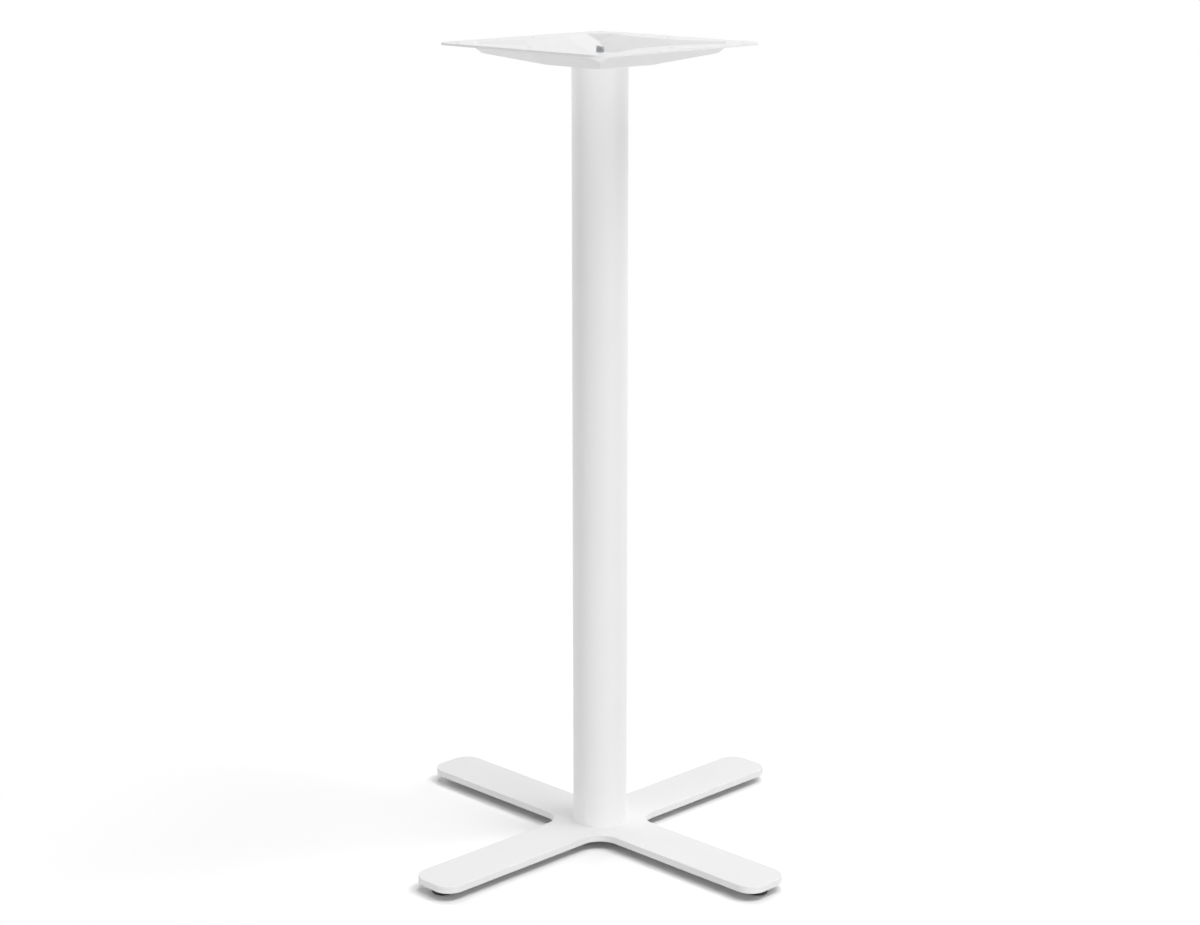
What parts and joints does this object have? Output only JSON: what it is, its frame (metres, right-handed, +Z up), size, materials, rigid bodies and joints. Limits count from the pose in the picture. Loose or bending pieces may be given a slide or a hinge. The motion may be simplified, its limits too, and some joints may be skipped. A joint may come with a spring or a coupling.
{
  "type": "four star table base",
  "caption": "Flat star base with a round column and a pressed square head plate, clamped by a central tie rod, on levelling glides.",
  "frame": {"origin": "on the floor, under the middle of the cross", "axes": "+Z up along the column, X and Y along the arms and square to the head plate's sides"},
  "size_m": [0.65, 0.65, 1.12],
  "materials": {
    "white_coat": "white satin powder coat",
    "zinc_steel": "zinc plated, slightly dull",
    "black_pad": "black moulded plastic, matt"
  },
  "bodies": {
    "frame": {"base_cross": "white_coat", "column_tube": "white_coat", "head_plate": "white_coat", "lower_centring_disc": "zinc_steel", "upper_centring_disc": "zinc_steel", "tie_rod": "zinc_steel", "upper_washer": "zinc_steel", "upper_nut": "zinc_steel", "lower_washer": "zinc_steel", "lower_thin_nut": "zinc_steel"},
    "glide_right": {"glide_stud_right": "zinc_steel", "glide_pad_right": "black_pad"},
    "glide_rear": {"glide_stud_rear": "zinc_steel", "glide_pad_rear": "black_pad"},
    "glide_left": {"glide_stud_left": "zinc_steel", "glide_pad_left": "black_pad"},
    "glide_front": {"glide_stud_front": "zinc_steel", "glide_pad_front": "black_pad"}
  },
  "joints": [
    {"name": "glide_right_travel", "type": "slide", "parent": "frame", "child": "glide_right", "axis": [0, 0, 1], "range_m": [-0.0035, 0.0015]},
    {"name": "glide_rear_travel", "type": "slide", "parent": "frame", "child": "glide_rear", "axis": [0, 0, 1], "range_m": [-0.0035, 0.0015]},
    {"name": "glide_left_travel", "type": "slide", "parent": "frame", "child": "glide_left", "axis": [0, 0, 1], "range_m": [-0.0035, 0.0015]},
    {"name": "glide_front_travel", "type": "slide", "parent": "frame", "child": "glide_front", "axis": [0, 0, 1], "range_m": [-0.0035, 0.0015]}
  ]
}
